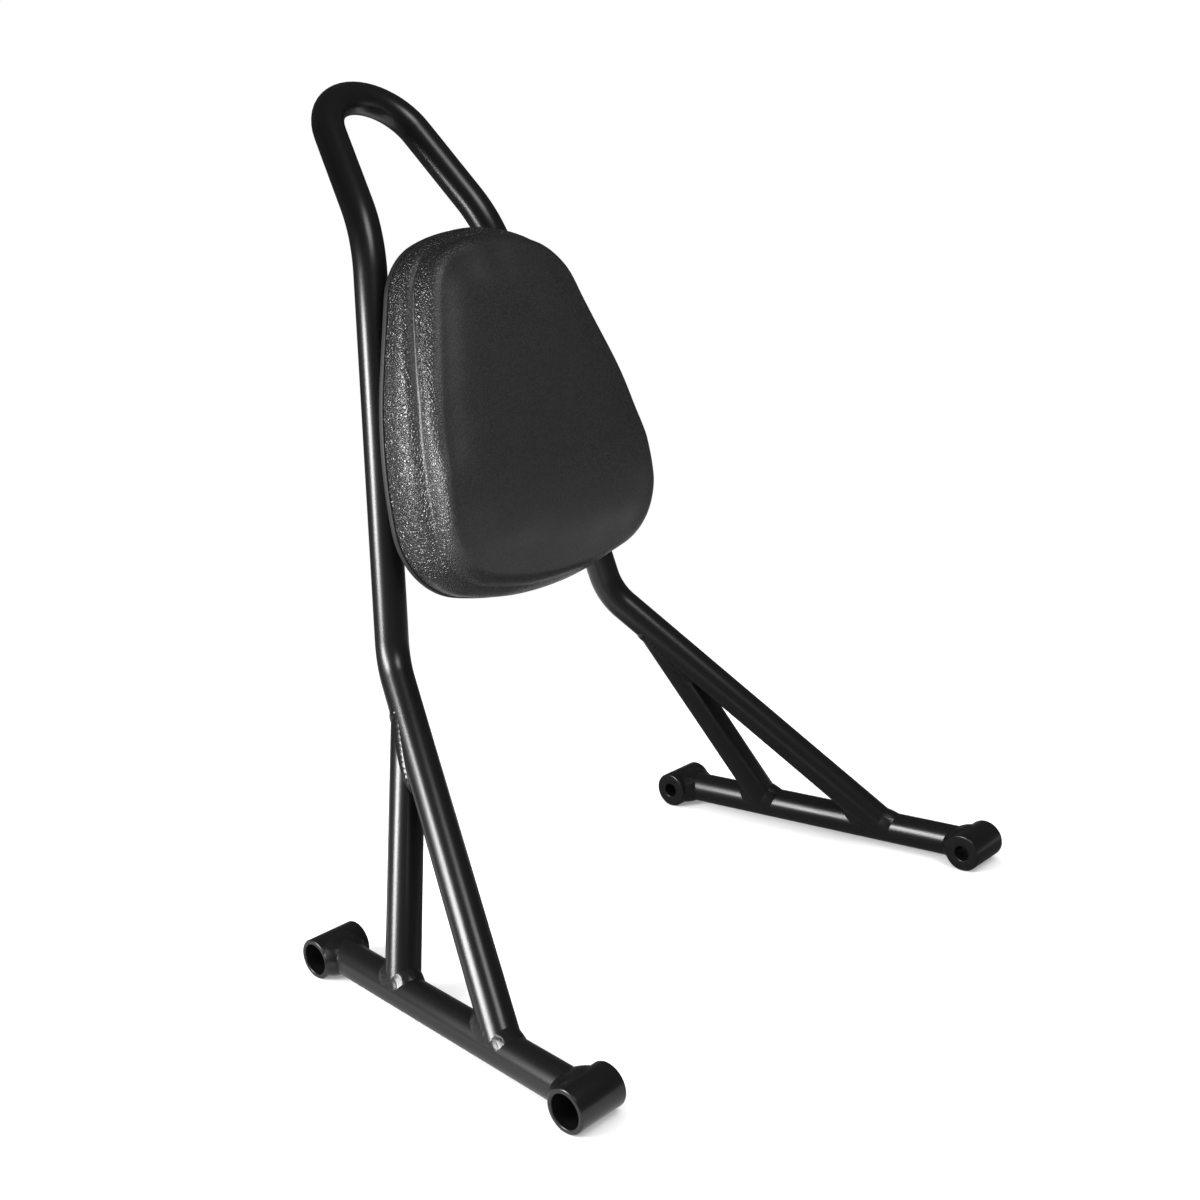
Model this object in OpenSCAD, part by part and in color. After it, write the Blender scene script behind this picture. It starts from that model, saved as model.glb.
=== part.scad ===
// Sissy bar for a motorcycle: a welded tube frame with a backrest pad.
// Millimetres. +Z is up, +X is the rider's right and the pad faces -Y, the front.
// The origin is on the ground, under the middle of the part's bounding box.

/* [Mounting bosses] */
// Distance from the front bolt holes to the rear ones
mount_pitch = 212; // [190:1:240]
// Distance between the rails at the front bosses, centre to centre
front_span = 344; // [310:1:380]
// Distance between the rails at the rear bosses, centre to centre
rear_span = 302; // [270:1:340]
// Outer diameter of a boss
boss_d = 22.5; // [21:0.5:28]
// How far a boss reaches inboard of its rail's centre line
boss_in = 15.5; // [13:0.5:20]
// How far a boss reaches outboard of its rail's centre line
boss_out = 14; // [12:0.5:20]
// Diameter of the pocket for the bolt head, in the outboard end
pocket_d = 17.2; // [15:0.1:18]
// Depth of that pocket
pocket_depth = 19; // [10:0.5:22]
// Diameter of the bolt hole
bolt_hole_d = 9.2; // [6.5:0.1:11]
// Chamfer on a boss's edges
boss_chamfer = 0.8; // [0.3:0.1:1.5]

/* [Tube frame] */
// Diameter of the hoop, rail and strut tubes
tube_d = 19; // [16:0.5:20]
// Foot of the hoop on its rail, ahead of the middle between the bosses
leg_foot_ahead = 47; // [35:1:60]
// Foot of the strut on its rail, behind the middle between the bosses
strut_foot_behind = 40; // [30:1:55]
// Head of the strut, measured up the leg from its foot
strut_head_along = 194; // [170:1:198]
// Distance between the lower bends, centre to centre
elbow_span = 179; // [160:1:200]
// Lower bends, behind the middle between the bosses
elbow_back = 108; // [95:1:120]
// Lower bends, above the rails
elbow_rise = 150; // [140:1:170]
// Bend radius of the lower bends
elbow_bend_r = 38; // [28:1:50]
// Distance between the upper bends, centre to centre
shoulder_span = 94; // [88:1:110]
// Upper bends, behind the middle between the bosses
shoulder_back = 147; // [135:1:160]
// Upper bends, above the rails
shoulder_rise = 382; // [370:1:400]
// Bend radius of the upper bends
shoulder_bend_r = 90; // [60:1:100]
// Lean of the loop behind the vertical
loop_lean = 37.5; // [30:0.5:42]
// How much each side of the loop closes in
loop_taper = 11.5; // [9:0.5:13]
// Centre-line radius of the loop's round top
loop_r = 33; // [30:1:35]

/* [Cross straps] */
// Width of a strap, along the uprights
strap_w = 25; // [20:1:30]
// Thickness of a strap
strap_t = 5; // [4:0.5:6]
// How far a strap stops short of the centre line of each upright
strap_short = 2; // [0:0.5:3]
// Height of the lower strap above the lower bends, along the uprights
strap_low = 72; // [60:1:80]
// Distance from the lower strap to the upper one
strap_pitch = 102; // [90:1:110]

/* [Pad] */
// Greatest width of the pad
pad_w = 179; // [170:1:188]
// Height of the pad, along the uprights
pad_h = 210; // [200:1:225]
// Bottom of the pad above the lower bends, along the uprights
pad_low = 21; // [15:1:30]
// Thickness of the base board
base_t = 4; // [3:0.5:6]
// Height of the stand-offs under the base board
standoff_h = 6.5; // [5:0.5:9]
// Greatest thickness of the pad with its base board
pad_t = 46; // [42:1:52]
// How much thinner the pad is at its top
top_drop = 15; // [8:1:17]
// How much thinner the pad is at its bottom
low_drop = 9; // [4:1:12]
// Rise of the middle of the face above its edges
crown = 3; // [1:0.5:5]
// How far the side wall leans in
wall_lean = 5; // [3:0.5:6]
// Rounding of the edge between the face and the side wall
face_round = 6; // [4:0.5:8]
// Corner radius at the bottom of the outline
low_corner_r = 46; // [40:1:52]
// Corner radius at the top of the outline
top_corner_r = 42; // [36:1:46]
// Radius of the bowed stretch of each side
side_bow_r = 270; // [230:5:300]
// Slope of the straight stretch of each side
side_slope = 18; // [15:0.5:19]

/* [Pad fasteners] */
// Distance between the two bolts of a strap
bolt_pitch = 60; // [50:1:68]
// Thread diameter of the pad bolts
bolt_d = 6; // [5:0.5:7]

/* [Welds] */
// Width of a weld bead's foot on each tube
bead_w = 3.4; // [2.5:0.1:3.6]
// Distance from one ripple of a bead to the next
ripple = 2.8; // [2:0.1:4]

/* [Hidden] */
$fn = 48;

// Finishes
powder_black = [0.07, 0.07, 0.075];
vinyl_black = [0.13, 0.13, 0.13];
board_black = [0.1, 0.1, 0.1];
zinc = [0.62, 0.63, 0.65];

// Clearances
fit_gap = 0.2;      // between a coped tube end and the tube that it stands on
seat_gap = 0.3;     // under the soft cushion
hole_play = 0.3;    // round a bolt, on the radius
thread_play = 0.1;  // between the bolt and its nut, on the radius
bead_gap = 0.2;     // keeps a weld bead's flat facets outside the round tubes
bead_bulge = 0.25;  // how far a bead's crest stands out, as a share of its width
ripple_dip = 0.78;  // width of a bead between two ripples, as a share of its full width
bend_thin = 0.02;   // a bent stretch is this much thinner, on the radius, than a straight one
bend_lap = 0.5;     // how far a straight stretch runs on into a bend
cut_past = 1;       // how far a cutter runs past the face that it cuts
strap_corner_r = 4;
groove_weld_share = 0.72; // length of the weld behind a strap, as a share of the strap's width
groove_weld_turn = 38;    // how far round the upright that weld reaches
groove_weld_lip = 1;      // how much further it reaches on the strap
end_weld_w = 2.5;         // width of the weld across a strap's end
end_weld_root = 2;        // how deep that weld is drawn before the upright is cut out of it

tube_r = tube_d / 2;
boss_r = boss_d / 2;
LEFT = -1;
RIGHT = 1;

// Centre-line points on the right-hand side, seen from the middle between the bosses
function rail_half(y) = (front_span + rear_span) / 4 - y * (front_span - rear_span) / 2 / mount_pitch;
function rail_point(y) = [rail_half(y), y, 0];
leg_foot = rail_point(-leg_foot_ahead);
elbow = [elbow_span / 2, elbow_back, elbow_rise];
shoulder = [shoulder_span / 2, shoulder_back, shoulder_rise];
hoop_side = [leg_foot, elbow, shoulder];
loop_up = [0, sin(loop_lean), cos(loop_lean)];
loop_tip = [0, shoulder_back, shoulder_rise] + loop_up * (shoulder_span / 2 / tan(loop_taper));
strut_foot = rail_point(strut_foot_behind);
strut_head = leg_foot + unit(elbow - leg_foot) * strut_head_along;

// The origin: on the ground and in the middle of the part's length
loop_rear = shoulder_back + sin(loop_lean) * (shoulder_span / 2 / tan(loop_taper)
    - loop_r / sin(loop_taper) + loop_r) + tube_r;
boss_front = -mount_pitch / 2 - boss_r;
datum = [0, -(loop_rear + boss_front) / 2, boss_r];

// The pad's own frame: x across, y up along the uprights, z out of the pad's face
upright_lean = atan2(shoulder_back - elbow_back, shoulder_rise - elbow_rise);
upright_len = norm([0, shoulder_back - elbow_back, shoulder_rise - elbow_rise]);
strap_z = tube_r + fit_gap;
base_z = strap_z + strap_t + standoff_h;
cushion_z = base_z + base_t + seat_gap;
strap_high = strap_low + strap_pitch;
function upright_half(y) = elbow_span / 2 - (elbow_span - shoulder_span) / 2 * y / upright_len;
upright_tilt = atan((elbow_span - shoulder_span) / 2 / upright_len);

// Pad bolts, washers and tee nuts
head_h = bolt_d * 0.55;
head_r = bolt_d * 0.875;
dome_r = head_r * 1.6;
key_r = bolt_d * 0.385;
key_depth = head_h * 0.6;
washer_t = 1.6;
washer_r = bolt_d;
flange_t = 1.5;
flange_r = bolt_d * 1.4;
barrel_wall = 1;    // wall of a tee nut's barrel
barrel_back = 0.5;  // how far a tee nut's barrel stays off the strap
standoff_wall = 4;  // wall of a stand-off round that barrel
barrel_r = bolt_d / 2 + thread_play + barrel_wall;
barrel_len = base_t + standoff_h - barrel_back;
standoff_r = barrel_r + thread_play + standoff_wall;
bolt_back = 0.6;    // how far a bolt's end stays under the board's face
bolt_len = washer_t + strap_t + standoff_h + base_t - bolt_back;

// Vectors and frames

function unit(v) = v / norm(v);
function flip(p, side) = [p.x * side, p.y, p.z];
function across(v) = abs(v.z) > 0.9 ? unit(cross([1, 0, 0], v)) : unit(cross([0, 0, 1], v));

// Puts its children at o, with their x and y axes along the unit vectors x and y
module in_frame(o, x, y) {
    z = cross(x, y);
    multmatrix([
        [x.x, y.x, z.x, o.x],
        [x.y, y.y, z.y, o.y],
        [x.z, y.z, z.z, o.z]
    ])
        children();
}

module from_datum() {
    translate(datum)
        children();
}

module on_pad() {
    in_frame([0, elbow_back, elbow_rise] + datum,
        [1, 0, 0], [0, sin(upright_lean), cos(upright_lean)])
        children();
}

// Tubes

module rod(a, b, r) {
    d = unit(b - a);
    x = across(d);
    in_frame(a, x, cross(d, x))
        cylinder(h = norm(b - a), r = r);
}

function half_angle(a, b, c) = acos(unit(a - b) * unit(c - b)) / 2;
function bend_start(a, b, c, bend_r) = b + unit(a - b) * bend_r / tan(half_angle(a, b, c));

// The bend of a tube at the corner b, on its way from a to c
module tube_bend(a, b, c, bend_r, r) {
    half = half_angle(a, b, c);
    centre = b + unit(unit(a - b) + unit(c - b)) * bend_r / sin(half);
    in_frame(centre, unit(bend_start(a, b, c, bend_r) - centre), unit(b - a))
        rotate_extrude(angle = 180 - 2 * half)
            translate([bend_r, 0])
                circle(r = r - bend_thin);
}

// Where the straight stretch from corner i of the path to corner j ends, with its lap into the bend at j
function stretch_end(path, bends, i, j) =
    let (k = 2 * j - i)
    k < 0 || k == len(path) ? path[j]
        : bend_start(path[i], path[j], path[k], bends[j - 1]) + unit(path[j] - path[i]) * bend_lap;

// A tube through the corners in path, bent at each inner corner to the radius in bends
module bent_tube(path, bends, r) {
    last = len(path) - 1;
    for (i = [0:last - 1]) {
        rod(stretch_end(path, bends, i + 1, i), stretch_end(path, bends, i, i + 1), r);
    }
    for (i = [1:last - 1]) {
        tube_bend(path[i - 1], path[i], path[i + 1], bends[i - 1], r);
    }
}

module rail_rod(side, r) {
    rod(flip(rail_point(-mount_pitch / 2), side), flip(rail_point(mount_pitch / 2), side), r);
}

module rail_cutter(side) {
    rail_rod(side, tube_r + fit_gap);
}

module leg_cutter(side) {
    rod(flip(leg_foot, side), flip(elbow, side), tube_r + fit_gap);
}

module boss_cutter(side, y) {
    translate(flip(rail_point(y), side))
        rotate([0, 90, 0])
            cylinder(h = 2 * tube_d, r = boss_r + fit_gap, center = true);
}

// One tube, bent five times, that makes both legs, both uprights and the loop
module hoop_tube() {
    color(powder_black)
        from_datum()
            difference() {
                bent_tube(
                    concat(hoop_side, [loop_tip], [for (i = [2:-1:0]) flip(hoop_side[i], LEFT)]),
                    [elbow_bend_r, shoulder_bend_r, loop_r, shoulder_bend_r, elbow_bend_r],
                    tube_r
                );
                rail_cutter(LEFT);
                rail_cutter(RIGHT);
            }
}

module rail(side) {
    color(powder_black)
        from_datum()
            difference() {
                rail_rod(side, tube_r);
                boss_cutter(side, -mount_pitch / 2);
                boss_cutter(side, mount_pitch / 2);
            }
}

module strut(side) {
    color(powder_black)
        from_datum()
            difference() {
                rod(flip(strut_foot, side), flip(strut_head, side), tube_r);
                rail_cutter(side);
                leg_cutter(side);
            }
}

// A turned boss: a through hole for the bolt and a pocket for its head in the outboard end
module boss(side, y) {
    length = boss_in + boss_out;
    c = boss_chamfer;
    color(powder_black)
        from_datum()
            translate(flip(rail_point(y), side))
                rotate([0, 90 * side, 0])
                    translate([0, 0, -boss_in])
                        rotate_extrude()
                            polygon([
                                [bolt_hole_d / 2, c / 2], [bolt_hole_d / 2 + c / 2, 0],
                                [boss_r - c, 0], [boss_r, c],
                                [boss_r, length - c], [boss_r - c, length],
                                [pocket_d / 2 + c / 2, length], [pocket_d / 2, length - c / 2],
                                [pocket_d / 2, length - pocket_depth],
                                [bolt_hole_d / 2, length - pocket_depth]
                            ]);
}

// Cross straps

// A flat bar of the given length and width with round corners
module flat_bar(length, width, t, r) {
    linear_extrude(height = t) {
        square([length - 2 * r, width], center = true);
        square([length, width - 2 * r], center = true);
        for (x = [-1, 1], y = [-1, 1]) {
            translate([x * (length / 2 - r), y * (width / 2 - r)])
                circle(r = r);
        }
    }
}

module strap(y) {
    color(powder_black)
        on_pad()
            translate([0, y, strap_z])
                difference() {
                    flat_bar(2 * (upright_half(y) - strap_short), strap_w, strap_t, strap_corner_r);
                    for (side = [LEFT, RIGHT]) {
                        translate([side * bolt_pitch / 2, 0, -cut_past])
                            cylinder(h = strap_t + 2 * cut_past, r = bolt_d / 2 + hole_play);
                    }
                }
}

// Pad outline: tangent arcs, each point as [x, y, normal angle], from the bottom to the top

low_angle = 16;   // the bottom edge's arc ends where its normal has turned this far
top_angle = 70;   // the top edge's arc starts where the normal has turned this far from level
low_edge_r = (pad_w / 2 - low_corner_r * (1 - sin(low_angle))) / sin(low_angle);
low_h = low_edge_r * (1 - cos(low_angle)) + low_corner_r * cos(low_angle);
bow_x = pad_w / 2 - side_bow_r * (1 - cos(side_slope));
top_k = (1 - sin(top_angle)) / cos(top_angle);
corner_x = bow_x - top_corner_r * (cos(side_slope) - cos(top_angle));
straight = (pad_h - low_h - side_bow_r * sin(side_slope) - top_corner_r * (sin(top_angle) - sin(side_slope))
    - corner_x * top_k) / (cos(side_slope) - sin(side_slope) * top_k);
corner_y = low_h + side_bow_r * sin(side_slope) + straight * cos(side_slope) - top_corner_r * sin(side_slope);
corner_c = bow_x - straight * sin(side_slope) - top_corner_r * cos(side_slope);
top_edge_r = (corner_c + top_corner_r * cos(top_angle)) / cos(top_angle);

function arc(cx, cy, r, a0, a1, steps, first) =
    [for (i = [first:steps]) let (a = a0 + (a1 - a0) * i / steps) [cx + r * cos(a), cy + r * sin(a), a]];

right_half = concat(
    arc(0, low_edge_r, low_edge_r, -90, low_angle - 90, 3, 0),
    arc(pad_w / 2 - low_corner_r, low_h, low_corner_r, low_angle - 90, 0, 6, 1),
    arc(pad_w / 2 - side_bow_r, low_h, side_bow_r, 0, side_slope, 4, 1),
    arc(corner_c, corner_y, top_corner_r, side_slope, top_angle, 6, 0),
    arc(0, pad_h - top_edge_r, top_edge_r, top_angle, 90, 3, 1)
);
half_count = len(right_half);
outline = concat(
    right_half,
    [for (i = [half_count - 2:-1:1]) [-right_half[i].x, right_half[i].y, 180 - right_half[i].z]]
);
function inset_outline(e) = [for (p = outline) [p.x - e * cos(p.z), p.y - e * sin(p.z)]];

// The cushion's side wall: how far it is drawn in from the outline at each height
foot_in = 0.6;      // at the underside
belly_share = 0.25; // at the fullest part of the wall, as a share of the wall's lean
belly_at = 0.4;     // height of the fullest part, as a share of the wall

// The cushion thins out above and below this share of its height
thin_from = 0.36;
face_mid = 0.46;    // middle of the face, as a share of the pad's height
face_rings = 3;     // steps from the middle of the face to its edge

// Height of the face's edge above the cushion's underside, at the height y of the outline
function thin_out(y) = let (t = y / pad_h - thin_from)
    t > 0 ? top_drop * t / (1 - thin_from) : low_drop * pow(t / thin_from, 2);
function edge_h(y) = pad_t - base_t - seat_gap - thin_out(y);

// One ring of the cushion: the outline drawn in by e, at the share t of the wall plus a rise
function cushion_ring(e, t, drop) =
    [for (p = inset_outline(e)) [p.x, p.y, t * edge_h(p.y) - drop]];

// The cushion's face, drawn in towards its middle, rises by the crown
function face_ring(s) =
    let (edge = inset_outline(face_round + wall_lean), mid = [0, pad_h * face_mid])
    [for (p = edge) let (q = mid + (p - mid) * s) [q.x, q.y, edge_h(q.y) + crown * (1 - s * s)]];

module skin(rings) {
    n = len(rings[0]);
    last = len(rings) - 1;
    points = [for (ring = rings) for (p = ring) p];
    walls = [for (k = [0:last - 1]) for (i = [0:n - 1]) for (t = [0, 1])
        let (j = (i + 1) % n, a = k * n, b = (k + 1) * n)
        t == 0 ? [a + i, b + i, b + j] : [a + i, b + j, a + j]];
    floor_face = [[for (i = [0:n - 1]) i]];
    top_face = [[for (i = [n - 1:-1:0]) last * n + i]];
    polyhedron(points = points, faces = concat(walls, floor_face, top_face), convexity = 4);
}

module pad_cushion() {
    color(vinyl_black)
        on_pad()
            translate([0, pad_low, cushion_z])
                skin(concat(
                    [cushion_ring(foot_in, 0, 0)],
                    [cushion_ring(wall_lean * belly_share, belly_at, 0)],
                    [for (a = [0, 30, 60, 90])
                        cushion_ring(wall_lean + face_round * (1 - cos(a)), 1, face_round * (1 - sin(a)))],
                    [for (i = [face_rings - 1:-1:1]) face_ring(i / face_rings)]
                ));
}

module at_pad_bolts() {
    on_pad()
        for (y = [strap_low, strap_high], side = [LEFT, RIGHT]) {
            translate([side * bolt_pitch / 2, y, 0])
                children();
        }
}

// A flat moulded board with a stand-off for each bolt, and a recess for each tee nut's flange
module pad_base() {
    color(board_black)
        difference() {
            union() {
                on_pad()
                    translate([0, pad_low, base_z])
                        linear_extrude(height = base_t)
                            polygon(inset_outline(0));
                at_pad_bolts()
                    translate([0, 0, strap_z + strap_t])
                        cylinder(h = standoff_h + base_t / 2, r = standoff_r);
            }
            at_pad_bolts()
                translate([0, 0, strap_z + strap_t - cut_past])
                    cylinder(h = standoff_h + base_t + 2 * cut_past, r = barrel_r + thread_play);
            at_pad_bolts()
                translate([0, 0, base_z + base_t - flange_t - thread_play])
                    cylinder(h = base_t, r = flange_r + hole_play);
        }
}

// Button-head bolts, put in from behind the straps
module pad_bolts() {
    color(zinc)
        at_pad_bolts()
            translate([0, 0, strap_z - washer_t])
                difference() {
                    union() {
                        cylinder(h = bolt_len, d = bolt_d);
                        rotate([180, 0, 0])
                            intersection() {
                                cylinder(h = head_h, r = head_r);
                                translate([0, 0, head_h - dome_r])
                                    sphere(r = dome_r);
                            }
                    }
                    translate([0, 0, -head_h - cut_past])
                        cylinder(h = key_depth + cut_past, r = key_r, $fn = 6);
                }
}

module pad_washers() {
    color(zinc)
        at_pad_bolts()
            translate([0, 0, strap_z - washer_t])
                difference() {
                    cylinder(h = washer_t, r = washer_r);
                    translate([0, 0, -cut_past])
                        cylinder(h = washer_t + 2 * cut_past, r = bolt_d / 2 + hole_play);
                }
}

module pad_tee_nuts() {
    color(zinc)
        at_pad_bolts()
            translate([0, 0, base_z + base_t - thread_play])
                rotate([180, 0, 0])
                    difference() {
                        union() {
                            cylinder(h = flange_t, r = flange_r);
                            cylinder(h = barrel_len, r = barrel_r);
                        }
                        translate([0, 0, -cut_past])
                            cylinder(h = barrel_len + 2 * cut_past, r = bolt_d / 2 + thread_play);
                    }
}

// Weld beads along the curve where a branch tube meets the tube that it stands on

// How far out along the branch direction d the point off + s * d is ra from the axis a
function reach(off, d, a, ra) =
    let (k = 1 - pow(d * a, 2), m = off * d - (off * a) * (d * a), c = off * off - pow(off * a, 2) - ra * ra)
    (-m + sqrt(max(0, m * m - k * c))) / k;

// The point of the joint at the angle q round the branch, for the two radii
function joint_point(d, x, a, rb, ra, q) =
    let (off = rb * (cos(q) * x + sin(q) * cross(d, x)))
    off + reach(off, d, a, ra) * d;

// One section of a bead of width w: its root, its foot on the main tube, its crest, its foot on the branch
function bead_section(d, x, a, rb, ra, q, dq, w) =
    let (
        p = joint_point(d, x, a, rb, ra, q),
        t = unit(joint_point(d, x, a, rb, ra, q + dq) - joint_point(d, x, a, rb, ra, q - dq)),
        na = unit(p - (p * a) * a),
        nb = unit(p - (p * d) * d),
        on_main = p + w * cross(t, na),
        on_branch = p + w * cross(nb, t),
        foot_a = (on_main * a) * a + unit(on_main - (on_main * a) * a) * ra,
        foot_b = (on_branch * d) * d + unit(on_branch - (on_branch * d) * d) * rb,
        crest = (foot_a + foot_b) / 2 + unit(na + nb) * w * bead_bulge
    )
    [p, foot_a, crest, foot_b];

module weld_bead(o, a, ra, d, rb) {
    x = unit(a - (a * d) * d);
    stops = [for (q = [0:10:360]) joint_point(d, x, a, rb, ra, q)];
    steps = [for (i = [0:35]) norm(stops[i + 1] - stops[i])];
    ripples = round(steps * [for (s = steps) 1] / ripple);
    translate(o)
        bead_skin([for (i = [0:2 * ripples - 1])
            bead_section(d, x, a, rb + bead_gap, ra + bead_gap, i * 180 / ripples, 90 / ripples,
                bead_w * (i % 2 == 0 ? 1 : ripple_dip))]);
}

module bead_skin(rings) {
    n = len(rings);
    m = len(rings[0]);
    points = [for (ring = rings) for (p = ring) p];
    faces = [for (k = [0:n - 1]) for (i = [0:m - 1]) for (t = [0, 1])
        let (j = (i + 1) % m, a = k * m, b = ((k + 1) % n) * m)
        t == 0 ? [a + i, b + j, b + i] : [a + i, a + j, b + j]];
    polyhedron(points = points, faces = faces, convexity = 8);
}

module joint_weld(side, o, a, ra, d, rb) {
    color(powder_black)
        from_datum()
            mirror([side == LEFT ? 1 : 0, 0, 0])
                weld_bead(o, unit(a), ra, unit(d), rb);
}

rail_line = rail_point(mount_pitch / 2) - rail_point(-mount_pitch / 2);

module leg_weld(side) {
    joint_weld(side, leg_foot, rail_line, tube_r, elbow - leg_foot, tube_r);
}

module strut_foot_weld(side) {
    joint_weld(side, strut_foot, rail_line, tube_r, strut_head - strut_foot, tube_r);
}

module strut_head_weld(side) {
    joint_weld(side, strut_head, elbow - leg_foot, tube_r, strut_foot - strut_head, tube_r);
}

module boss_weld(side, y) {
    joint_weld(side, rail_point(y), [1, 0, 0], boss_r, (y < 0 ? 1 : -1) * rail_line, tube_r);
}

// A straight weld along y, with the given section in x and z
module straight_weld(length, section) {
    rotate([90, 0, 0])
        linear_extrude(height = length, center = true)
            polygon(section);
}

// Two welds at each end of a strap: in the groove behind it, and across its end
module strap_welds(y) {
    reach_x = tube_r * sin(groove_weld_turn);
    color(powder_black)
        difference() {
            on_pad()
                for (side = [LEFT, RIGHT]) {
                    translate([side * upright_half(y), y, 0])
                        rotate([0, 0, side * upright_tilt])
                            mirror([side == RIGHT ? 1 : 0, 0, 0])
                                straight_weld(strap_w * groove_weld_share, [
                                    [reach_x / 2, strap_z - bead_gap],
                                    [reach_x + bead_gap, tube_r * cos(groove_weld_turn)],
                                    [reach_x + groove_weld_lip, strap_z - bead_gap]
                                ]);
                    translate([side * (upright_half(y) - strap_short + bead_gap), y, 0])
                        mirror([side == LEFT ? 1 : 0, 0, 0])
                            straight_weld(strap_w - 2 * strap_corner_r, [
                                [0, strap_z - end_weld_root],
                                [end_weld_w, strap_z - end_weld_root],
                                [0, strap_z + end_weld_w]
                            ]);
                }
            from_datum()
                for (side = [LEFT, RIGHT]) {
                    rod(flip(elbow, side), flip(shoulder, side), tube_r);
                }
        }
}

hoop_tube();
rail(LEFT);  // left_rail
rail(RIGHT);  // right_rail
strut(LEFT);  // left_strut
strut(RIGHT);  // right_strut
boss(LEFT, -mount_pitch / 2);  // front_left_boss
boss(LEFT, mount_pitch / 2);  // rear_left_boss
boss(RIGHT, -mount_pitch / 2);  // front_right_boss
boss(RIGHT, mount_pitch / 2);  // rear_right_boss
strap(strap_low);  // lower_strap
strap(strap_high);  // upper_strap
pad_base();
pad_cushion();
pad_bolts();
pad_washers();
pad_tee_nuts();
leg_weld(LEFT);  // left_leg_weld
leg_weld(RIGHT);  // right_leg_weld
strut_foot_weld(LEFT);  // left_strut_foot_weld
strut_foot_weld(RIGHT);  // right_strut_foot_weld
strut_head_weld(LEFT);  // left_strut_head_weld
strut_head_weld(RIGHT);  // right_strut_head_weld
boss_weld(LEFT, -mount_pitch / 2);  // front_left_boss_weld
boss_weld(LEFT, mount_pitch / 2);  // rear_left_boss_weld
boss_weld(RIGHT, -mount_pitch / 2);  // front_right_boss_weld
boss_weld(RIGHT, mount_pitch / 2);  // rear_right_boss_weld
strap_welds(strap_low);  // lower_strap_welds
strap_welds(strap_high);  // upper_strap_welds
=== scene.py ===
# %% [markdown]
# # A sissy bar, finished over its measured frame
# The part is a welded bar of round tube with a backrest pad. Its sizes come from a frame of plain solids,
# which this lesson dresses: smooth bent tubes, rippled welds, turned bosses and a soft pad with a leather
# grain. Every length below is in metres, and `MM` turns a workshop size into metres.

# %% Load the frame
import math

import bmesh
import bpy
import numpy as np
from mathutils import Matrix, Vector
from mathutils.kdtree import KDTree


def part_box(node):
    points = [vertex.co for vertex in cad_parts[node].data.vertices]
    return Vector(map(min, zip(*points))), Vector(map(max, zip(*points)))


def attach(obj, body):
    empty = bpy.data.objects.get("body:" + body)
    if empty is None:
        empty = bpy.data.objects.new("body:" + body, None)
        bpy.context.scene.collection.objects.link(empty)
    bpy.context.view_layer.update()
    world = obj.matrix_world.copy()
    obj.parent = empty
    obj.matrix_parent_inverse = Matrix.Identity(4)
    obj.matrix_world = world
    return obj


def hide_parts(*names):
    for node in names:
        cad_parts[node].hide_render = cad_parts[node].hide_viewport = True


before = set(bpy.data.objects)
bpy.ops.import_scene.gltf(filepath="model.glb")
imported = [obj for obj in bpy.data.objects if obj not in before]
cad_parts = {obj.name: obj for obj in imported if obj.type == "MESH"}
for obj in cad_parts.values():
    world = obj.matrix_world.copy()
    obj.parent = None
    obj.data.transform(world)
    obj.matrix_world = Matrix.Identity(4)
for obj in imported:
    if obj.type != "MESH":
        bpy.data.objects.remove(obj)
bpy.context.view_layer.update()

MM = 0.001
BODY = "root"
scene = bpy.context.scene
print("nodes in the frame:", len(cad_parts))

# %% [markdown]
# ## The centre lines
# A tube frame is drawn as lines first. Every tube follows a few corner points, so those points and the bend
# radii are the only sizes that it needs. The right-hand side is written down, and the left-hand side is its
# mirror image. The points are measured from the middle between the four bosses, so the bosses of the frame
# give their place.

# %% Centre-line points of the right-hand side
mount_pitch = 212 * MM
front_span = 344 * MM
rear_span = 302 * MM
tube_r = 9.5 * MM
boss_r = 11.25 * MM

front_low, front_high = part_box("front_right_boss")
boss_mid = (front_low + front_high) / 2
rail_origin = Vector((0, boss_mid.y + mount_pitch / 2, boss_mid.z))


def rail_point(y):
    half = (front_span + rear_span) / 4 - y * (front_span - rear_span) / 2 / mount_pitch
    return rail_origin + Vector((half, y, 0))


def from_rails(x, y, z):
    return rail_origin + Vector((x, y, z)) * MM


leg_foot = rail_point(-47 * MM)
elbow = from_rails(89.5, 108, 150)
shoulder = from_rails(47, 147, 382)
strut_foot = rail_point(40 * MM)
strut_head = leg_foot + (elbow - leg_foot).normalized() * 194 * MM
elbow_bend = 38 * MM
shoulder_bend = 90 * MM
loop_bend = 33 * MM
loop_lean = math.radians(37.5)
loop_taper = math.radians(11.5)
loop_rise = shoulder.x / math.tan(loop_taper)
loop_way = Vector((0, math.sin(loop_lean), math.cos(loop_lean)))
loop_tip = Vector((0, shoulder.y, shoulder.z)) + loop_way * loop_rise
front_end = rail_point(-mount_pitch / 2)
rear_end = rail_point(mount_pitch / 2)
print("boss centres:", [tuple(round(c, 4) for c in p) for p in (front_end, rear_end)])


def mirrored(p):
    return Vector((-p.x, p.y, p.z))

# %% [markdown]
# ## Finishes
# The bar has four finishes: satin powder coat on all the steel that shows, grained vinyl on the pad,
# moulded board behind it and zinc on the small fasteners. Each is a node material. What is the same all
# over a surface is set on the shader's own sockets, and only what changes from place to place comes through
# nodes. All patterns read Object coordinates, because every finished piece sits at the origin with its
# place in its mesh.

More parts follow.
